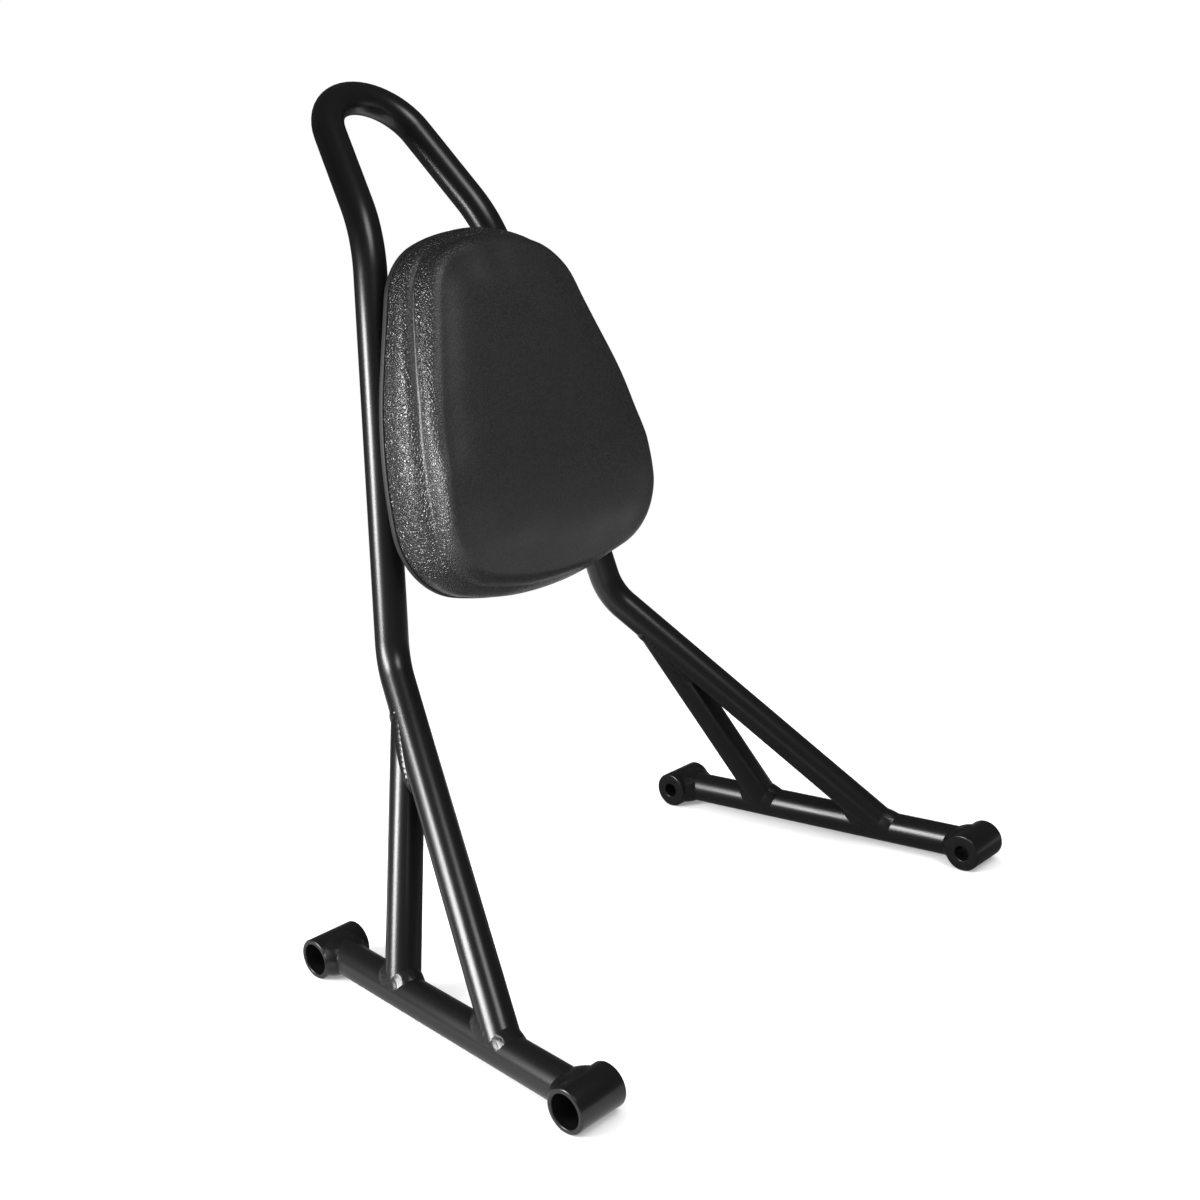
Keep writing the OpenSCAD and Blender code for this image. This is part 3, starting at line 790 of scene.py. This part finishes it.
def pad_rings(slack, wall_steps, round_steps, face_steps):
    """The cushion's rings as (x, y, height over the board), from the hem to the middle of the face."""
    rings = []
    top = ease(*ROUND_CHANGES, PAD_EDGE[:, 1] / pad_h)
    round_in, round_down = (low + (high - low) * top for low, high in zip(ROUND_LOW, ROUND_TOP))

    def ring(inset, height):
        x, y = drawn_in(inset)
        rings.append(np.c_[x, y, height(face_height(y)) + 0 * x])

    for inset, rise in zip(HEM_INSETS, HEM_RISES):
        ring(inset * MM, lambda full: rise * MM)
    low = HEM_RISES[-1] * MM
    for t in np.linspace(0, 1, wall_steps + 1)[1:]:
        hem = HEM_TUCK * max(0, 1 - t / BELLY_AT) ** 2
        lean = (wall_lean + slack - WALL_INSET) * max(0, (t - BELLY_AT) / (1 - BELLY_AT)) ** 1.5
        ring(hem + WALL_INSET + lean, lambda full: low + (full - round_down - low) * t)
    for a in np.linspace(0, math.pi / 2, round_steps + 1)[1:]:
        ring(wall_lean + slack + round_in * (1 - math.cos(a)),
             lambda full: full - round_down * (1 - math.sin(a)) - slack * math.sin(a))
    rim = rings[-1]
    middle = np.array([0, pad_h * face_mid])
    for t in np.linspace(1, 0, face_steps + 1)[1:-1]:
        flat = middle + (rim[:, :2] - middle) * t
        rings.append(np.c_[flat, face_height(flat[:, 1]) - slack + FIRST_CROWN * (1 - t * t)])
    return rings


def closed_form(name, rings, finish):
    """Skins rings into a closed mesh, with its first and last ring capped."""
    count = len(rings[0])
    local = np.vstack(rings)
    points = from_pad(local[:, 0], local[:, 1], seat + local[:, 2])
    faces = []
    for k in range(len(rings) - 1):
        a, b = k * count, (k + 1) * count
        faces += [(a + i, a + (i + 1) % count, b + (i + 1) % count, b + i) for i in range(count)]
    faces.append(tuple(range(count))[::-1])
    last = (len(rings) - 1) * count
    faces.append(tuple(last + i for i in range(count)))
    return mesh_object(name, points, faces, finish)


WALL_STEPS, ROUND_STEPS, FACE_STEPS = 30, 12, 44
FIRST_SLACK = 1.0 * MM
pad = closed_form("cushion", pad_rings(FIRST_SLACK, WALL_STEPS, ROUND_STEPS, FACE_STEPS), VINYL)
print("cushion points:", len(pad.data.vertices))

# %% [markdown]
# ### Blowing up the cover
# Foam presses its cover out from inside, and the cover holds it in at the hem and round the edges. A cloth
# simulation does that best. It runs on an evenly meshed copy with pressure and no gravity, with the hem
# pinned to the board. Its movement is then laid over the finer mesh: each point takes the mean movement of
# the copy's points near it, and no point may travel further than the cap.

# %% Cloth simulation on a copy
HEM_HELD = 1.2
REACH = 9 * MM


def blown_up(source, voxel, pressure, frames):
    """Points of a remeshed copy before and after the simulation."""
    mesh = source.data.copy()
    copy = bpy.data.objects.new(source.name + "_cloth", mesh)
    scene.collection.objects.link(copy)
    remesh = copy.modifiers.new("Even mesh", "REMESH")
    remesh.mode = "VOXEL"
    remesh.voxel_size = voxel
    make_plain(copy)
    before = get_points(copy.data)
    height = (before - np.array(pad_origin)) @ np.array(pad_out) - seat
    hem = copy.vertex_groups.new(name="hem")
    hem.add(np.flatnonzero(height < HEM_HELD * voxel).tolist(), 1.0, "REPLACE")
    cloth = copy.modifiers.new("Cloth", "CLOTH")
    cloth.settings.use_pressure = True
    cloth.settings.uniform_pressure_force = pressure
    cloth.settings.vertex_group_mass = hem.name
    cloth.settings.tension_stiffness = 12
    cloth.settings.compression_stiffness = 12
    cloth.settings.bending_stiffness = 1
    cloth.settings.effector_weights.gravity = 0
    cloth.point_cache.frame_start = 1
    cloth.point_cache.frame_end = frames
    for frame_number in range(1, frames + 1):
        scene.frame_set(frame_number)
    after = get_points(copy.evaluated_get(bpy.context.evaluated_depsgraph_get()).data)
    scene.frame_set(1)
    bpy.data.objects.remove(copy)
    return before, after


def soft_cap(moves, cap):
    """Shortens moves smoothly, so that none is longer than the cap."""
    length = np.linalg.norm(moves, axis=1, keepdims=True)
    return moves * (cap * np.tanh(length / cap) / np.maximum(length, 1e-9))


def lay_over(points, before, moves, near=48):
    """Mean movement of the nearest points of the copy, weighted by closeness."""
    tree = KDTree(len(before))
    for i, p in enumerate(before):
        tree.insert(p, i)
    tree.balance()
    out = np.empty_like(points)
    for i, p in enumerate(points):
        found = tree.find_n(p, near)
        weights = np.array([math.exp(-(d / REACH) ** 2) for _, _, d in found])
        out[i] = weights @ moves[[j for _, j, _ in found]] / weights.sum()
    return out


before, after = blown_up(pad, 5 * MM, 6.0, 20)
farthest = np.linalg.norm(after - before, axis=1).max()
print(f"copy's points: {len(before)}, farthest move before the cap: {farthest / MM:.1f} mm")
pad_points = get_points(pad.data)
pad_moves = lay_over(pad_points, before, soft_cap(after - before, 3.0 * MM))
set_points(pad.data, pad_points + pad_moves)
farthest = np.linalg.norm(pad_moves, axis=1).max()
print(f"farthest move laid over: {farthest / MM:.2f} mm")

# %% [markdown]
# ### The tuck in the side wall
# The pad's side wall has a long shallow tuck under the edge of the face, and over it the cover stands out
# as a thin roll. The tuck is deepest over the upper half, and towards the bottom it comes nearer to the
# face and fades away. It comes after the simulation, because pressure would have pushed it out. Each ring
# of the mesh is a known share of the wall, so the tuck is a smooth dip across the rings. The cover is
# stretched in it, so its grain is flat there.

# %% The tuck and the roll
# Shares of the way up the wall: the tuck's place over the upper part of the pad and its last place below, its
# width, and the roll's distance from it and width
TUCK_AT, TUCK_LAST, TUCK_W = 0.62, 0.80, 0.085
ROLL_OVER, ROLL_W = 0.19, 0.075
# Shares of the pad's height: where the tuck begins, grows deep and ends, and below which height it shifts
TUCK_BEGINS, TUCK_DEEPENS, TUCK_ENDS = (0.10, 0.25), (0.36, 0.56), (0.985, 0.90)
TUCK_SHIFTS, TUCK_SHIFTS_BELOW, LOW_SHARE = 0.45, 0.80, 0.55
HEM_RINGS = len(HEM_INSETS)
ROUND_FROM = 0.86


def up_the_wall(k):
    """The share of the way from the hem to the edge of the face at which a ring lies."""
    if k < HEM_RINGS + WALL_STEPS:
        return (k + 1 - HEM_RINGS) / WALL_STEPS * ROUND_FROM
    turned = (k + 1 - HEM_RINGS - WALL_STEPS) / ROUND_STEPS * math.pi / 2
    return ROUND_FROM + (1 - ROUND_FROM) * math.sin(turned)


def ring_rows(k):
    return slice(k * len(PAD_EDGE), (k + 1) * len(PAD_EDGE))


def tuck(piece, depth, roll):
    """Draws the tuck in and the roll out, and says how much of the tuck each point is in."""
    points = get_points(piece.data)
    outwards = np.outer(np.cos(PAD_EDGE[:, 2]), X_AXIS) + np.outer(np.sin(PAD_EDGE[:, 2]), pad_up)
    height = PAD_EDGE[:, 1] / pad_h
    on_side = LOW_SHARE * ease(*TUCK_BEGINS, height) + (1 - LOW_SHARE) * ease(*TUCK_DEEPENS, height)
    on_side *= ease(*TUCK_ENDS, height)
    line = np.minimum(TUCK_AT + TUCK_SHIFTS * np.clip(TUCK_SHIFTS_BELOW - height, 0, 1), TUCK_LAST)
    stretched = np.zeros(len(points))
    for k in range(HEM_RINGS, HEM_RINGS + WALL_STEPS + ROUND_STEPS):
        share = up_the_wall(k)
        dip = np.exp(-((share - line) / TUCK_W) ** 2)
        swell = np.exp(-((share - line - ROLL_OVER) / ROLL_W) ** 2)
        points[ring_rows(k)] += outwards * (on_side * (roll * swell - depth * dip))[:, None]
        stretched[ring_rows(k)] = on_side * dip
    set_points(piece.data, points)
    return stretched


stretched = tuck(pad, 3.0 * MM, 0.6 * MM)
face_outwards(pad)
smooth(pad, 80)

# %% The share of the grain at each point
FLAT_IN_TUCK = 0.8
grain = np.full(len(pad.data.vertices), FACE_GRAIN)
for k in range(HEM_RINGS + WALL_STEPS + ROUND_STEPS):
    past_wall = max(0, k + 1 - HEM_RINGS - WALL_STEPS) / ROUND_STEPS
    grain[ring_rows(k)] = 1 - (1 - FACE_GRAIN) * past_wall
grain *= 1 - FLAT_IN_TUCK * stretched
store(pad.data, "grain", grain)
print(f"grain: {grain.min():.2f} where it is flattest, {grain.max():.2f} on the wall")
finish_piece(pad, "vinyl", "pad_cushion")

# %% [markdown]
# ### The board
# The board is one moulding: a plate with a rounded rim, which shows as a smooth strip behind the grained
# wall, and four hollow stand-offs for the bolts. Its two flat sides are filled between the rim and the
# circles of the stand-offs.

# %% The board behind the cushion
bolt_pitch, bolt_rows = 60 * MM, (72 * MM, 174 * MM)
standoff_r, barrel_hole_r, flange_hole_r = 8.2 * MM, 4.2 * MM, 8.7 * MM
flange_depth = 1.6 * MM
back_round, front_round = 1.4 * MM, 0.5 * MM
board_front = board_back + board_t
standoff_profile = [
    (standoff_r + 1.2 * MM, board_back), (standoff_r + 0.35 * MM, board_back - 0.35 * MM),
    (standoff_r, board_back - 1.2 * MM), (standoff_r, strap_face + 0.4 * MM),
    (standoff_r - 0.4 * MM, strap_face), (barrel_hole_r, strap_face),
    (barrel_hole_r, board_front - flange_depth), (flange_hole_r, board_front - flange_depth),
    (flange_hole_r, board_front),
]


def board_piece():
    shape = bmesh.new()

    def loop(x, y, z):
        return [shape.verts.new(p) for p in from_pad(x, y, z + 0 * x)]

    def skin(loops):
        for a, b in zip(loops, loops[1:]):
            for i in range(len(a)):
                j = (i + 1) % len(a)
                shape.faces.new((a[i], a[j], b[j], b[i]))
        return loops[0], loops[-1]

    rim = []
    for r, z_mid, start, end in (
            (back_round, board_back + back_round, -90, 0), (front_round, board_front - front_round, 0, 90)):
        for a in np.radians(np.linspace(start, end, 6)):
            rim.append(loop(*drawn_in(r * (1 - math.cos(a))), z_mid + r * math.sin(a)))
    backs, fronts = ([end] for end in skin(rim))
    turn = np.linspace(0, 2 * math.pi, 40, endpoint=False)
    for row in bolt_rows:
        for side in (-1, 1):
            loops = [loop(side * bolt_pitch / 2 + r * np.cos(turn), row - pad_low + r * np.sin(turn), z)
                     for r, z in standoff_profile]
            for ends, bag in zip(skin(loops), (backs, fronts)):
                bag.append(ends)
    for bag in (backs, fronts):
        pairs = [(ring[i], ring[(i + 1) % len(ring)]) for ring in bag for i in range(len(ring))]
        bmesh.ops.triangle_fill(shape, edges=[shape.edges.get(pair) for pair in pairs], use_beauty=True)
    bmesh.ops.recalc_face_normals(shape, faces=shape.faces)
    piece = mesh_object("board", [], [], BOARD)
    shape.to_mesh(piece.data)
    shape.free()
    return piece


board = board_piece()
smooth(board, 35)
finish_piece(board, "board", "pad_base")

# %% [markdown]
# ## Pieces that keep their solids
# The straps, their welds and the fasteners have the right shape already. They only get a finish.

# %% Finishes on the frame's own pieces
KEPT = {
    "lower_strap": POWDER, "upper_strap": POWDER, "lower_strap_welds": POWDER, "upper_strap_welds": POWDER,
    "pad_bolts": ZINC, "pad_washers": ZINC, "pad_tee_nuts": ZINC,
}
for node, finish in KEPT.items():
    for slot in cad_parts[node].material_slots:
        slot.material = finish
print("kept nodes:", len(KEPT))

# %% [markdown]
# ## Camera
# The camera stands where the photograph's did, in front of the bar and to its left, a little above it. Its
# place, direction and focal length were found by fitting the tubes' outlines.

# %% Camera
camera_place = Vector((-0.60758, -0.60361, 0.40533))
camera_yaw = math.radians(43.911)
camera_down = math.radians(14.502)
camera_roll = math.radians(3.610)
focal_length_mm = 46.509

ahead = Vector((math.cos(camera_down) * math.cos(camera_yaw),
                math.cos(camera_down) * math.sin(camera_yaw), -math.sin(camera_down)))
level = ahead.cross(Vector((0, 0, 1))).normalized()
down = ahead.cross(level)
right = level * math.cos(camera_roll) + down * math.sin(camera_roll)
up = level * math.sin(camera_roll) - down * math.cos(camera_roll)
camera_data = bpy.data.cameras.new("camera")
camera_data.sensor_width = 36
camera_data.lens = focal_length_mm
camera = bpy.data.objects.new("camera", camera_data)
camera.matrix_world = Matrix((
    (right.x, up.x, -ahead.x, camera_place.x),
    (right.y, up.y, -ahead.y, camera_place.y),
    (right.z, up.z, -ahead.z, camera_place.z),
    (0, 0, 0, 1),
))
scene.collection.objects.link(camera)
scene.camera = camera
scene.view_settings.view_transform = "Standard"
print("camera at", tuple(camera_place))

# %% [markdown]
# ## Studio
# The part stands on a white sweep. The floor and the world show white to the camera and in reflections, and
# the world also lights the part evenly. A tall soft box on the left draws the long highlights on the tubes
# and lights the pad's side wall. A softer one above and in front gives the second, weaker highlight.

# %% World and floor
WORLD_LIGHT = 1.25


def white_to_viewer(tree):
    """1 for rays from the camera, in reflections and through glass, else 0."""
    path = add_node(tree, "ShaderNodeLightPath").outputs
    mirrored_ray = maths(tree, "MAXIMUM", path["Is Camera Ray"], path["Is Glossy Ray"])
    return maths(tree, "MAXIMUM", mirrored_ray, path["Is Transmission Ray"])


def white_glow(tree, level=1.0):
    return add_node(tree, "ShaderNodeEmission", Color=(1, 1, 1, 1), Strength=level)


def quad(name, corners, paint):
    return mesh_object(name, corners, [(0, 1, 2, 3)], paint)


world = bpy.data.worlds.new("studio")
scene.world = world
world.use_nodes = True
backdrop = world.node_tree.nodes["Background"]
backdrop.inputs["Color"].default_value = (1, 1, 1, 1)
world_level = spread(world.node_tree, white_to_viewer(world.node_tree), WORLD_LIGHT, 1)
link(world_level, backdrop.inputs["Strength"])

floor_paint, tree, shader = new_paint("floor_white")
shader["Base Color"].default_value = (0.93, 0.93, 0.93, 1)
shader["Roughness"].default_value = 0.9
shader["Specular IOR Level"].default_value = 0.0
floor_here = add_node(tree, "ShaderNodeTexCoord").outputs["Object"]
distance = add_node(tree, "ShaderNodeVectorMath", operation="LENGTH", Vector=floor_here)
far_share = spread(tree, distance.outputs["Value"], 0.2, 1, start=0.25, end=0.75, kind="SMOOTHSTEP")
blend = add_node(tree, "ShaderNodeMixShader", Fac=maths(tree, "MULTIPLY", far_share, white_to_viewer(tree)))
link(tree.nodes["Principled BSDF"].outputs["BSDF"], blend.inputs[1])
link(white_glow(tree).outputs["Emission"], blend.inputs[2])
link(blend.outputs["Shader"], tree.nodes["Material Output"].inputs["Surface"])
floor = quad("floor", [(-4, -4, 0), (4, -4, 0), (4, 4, 0), (-4, 4, 0)], floor_paint)

# %% [markdown]
# A black part needs dark cards all round it, so that the edges of its tubes stay dark. Here they are a drum
# with a lid, and only reflections see them.

# %% Dark cards
CARD_R, CARD_H, CARD_STEPS = 1.7, 2.2, 48
STAGE_LIFT = 0.001


def reflector(name, points, faces, paint):
    """A piece of studio that only reflections see."""
    piece = mesh_object(name, points, faces, paint)
    piece.visible_camera = False
    piece.visible_diffuse = False
    piece.visible_shadow = False
    piece.visible_transmission = False


def glow_paint(name, level):
    paint, tree, _ = new_paint(name)
    light = white_glow(tree, level)
    link(light.outputs["Emission"], tree.nodes["Material Output"].inputs["Surface"])
    return paint, tree, light


card_points, card_faces = [], []
for i in range(CARD_STEPS):
    a = 2 * math.pi * i / CARD_STEPS
    card_points += [(CARD_R * math.cos(a), CARD_R * math.sin(a), z) for z in (STAGE_LIFT, CARD_H)]
    j = (i + 1) % CARD_STEPS
    card_faces.append((2 * i, 2 * j, 2 * j + 1, 2 * i + 1))
card_faces.append(tuple(2 * i + 1 for i in range(CARD_STEPS)))
reflector("cards", card_points, card_faces, glow_paint("card_dark", 0.06)[0])

# %% [markdown]
# In reflections, the floor is bright only in a ring round the bar. It is dark under the bar and far away,
# so the near rail gets a bright underside, and the far rail and the pad's lower wall stay as dark as in the
# photograph.

# %% Floor as reflections see it
sheet_paint, tree, sheet_light = glow_paint("floor_in_reflections", 1.0)
sheet_here = add_node(tree, "ShaderNodeTexCoord").outputs["Object"]
from_middle = add_node(tree, "ShaderNodeVectorMath", operation="DISTANCE", Vector=sheet_here)
from_middle.inputs[1].default_value = (0.10, -0.03, 0)
away = from_middle.outputs["Value"]
inner = spread(tree, away, 0.10, 0.85, start=0.20, end=0.34, kind="SMOOTHSTEP")
outer = spread(tree, away, 1.0, 0.15, start=0.52, end=0.75, kind="SMOOTHSTEP")
link(maths(tree, "MULTIPLY", inner, outer), sheet_light.inputs["Strength"])
sheet_corners = [(x * CARD_R, y * CARD_R, STAGE_LIFT) for x, y in ((-1, -1), (1, -1), (1, 1), (-1, 1))]
reflector("floor_in_reflections", sheet_corners, [(0, 1, 2, 3)], sheet_paint)

# %% [markdown]
# A black flag beside the loop keeps the left soft box off the top of the hoop, whose tubes stay dull in the
# photograph. The camera doesn't see it.

# %% A black flag beside the loop
flag_x, flag_front, flag_back, flag_low, flag_high = -0.20, 0.06, 0.30, 0.405, 0.60
flag_paint, _, shader = new_paint("flag_black")
shader["Base Color"].default_value = (0.002, 0.002, 0.002, 1)
shader["Specular IOR Level"].default_value = 0.0
flag = quad("flag", [(flag_x, flag_front, flag_low), (flag_x, flag_back, flag_low),
                     (flag_x, flag_back, flag_high), (flag_x, flag_front, flag_high)], flag_paint)
flag.visible_camera = False
flag.visible_diffuse = False

# %% Lamps
def soft_box(name, place, target, width, height, power):
    lamp_data = bpy.data.lights.new(name, "AREA")
    lamp_data.shape = "RECTANGLE"
    lamp_data.size = width
    lamp_data.size_y = height
    lamp_data.energy = power
    lamp = bpy.data.objects.new(name, lamp_data)
    lamp.location = place
    lamp.rotation_mode = "QUATERNION"
    lamp.rotation_quaternion = (Vector(target) - Vector(place)).to_track_quat("-Z", "Y")
    scene.collection.objects.link(lamp)


soft_box("soft_box_left", (-0.95, 0.37, 0.60), (-0.1, 0.05, 0.45), 0.34, 0.68, 19.0)
soft_box("soft_box_top", (-0.15, -0.75, 1.35), (0, 0, 0.2), 0.5, 0.5, 5.0)
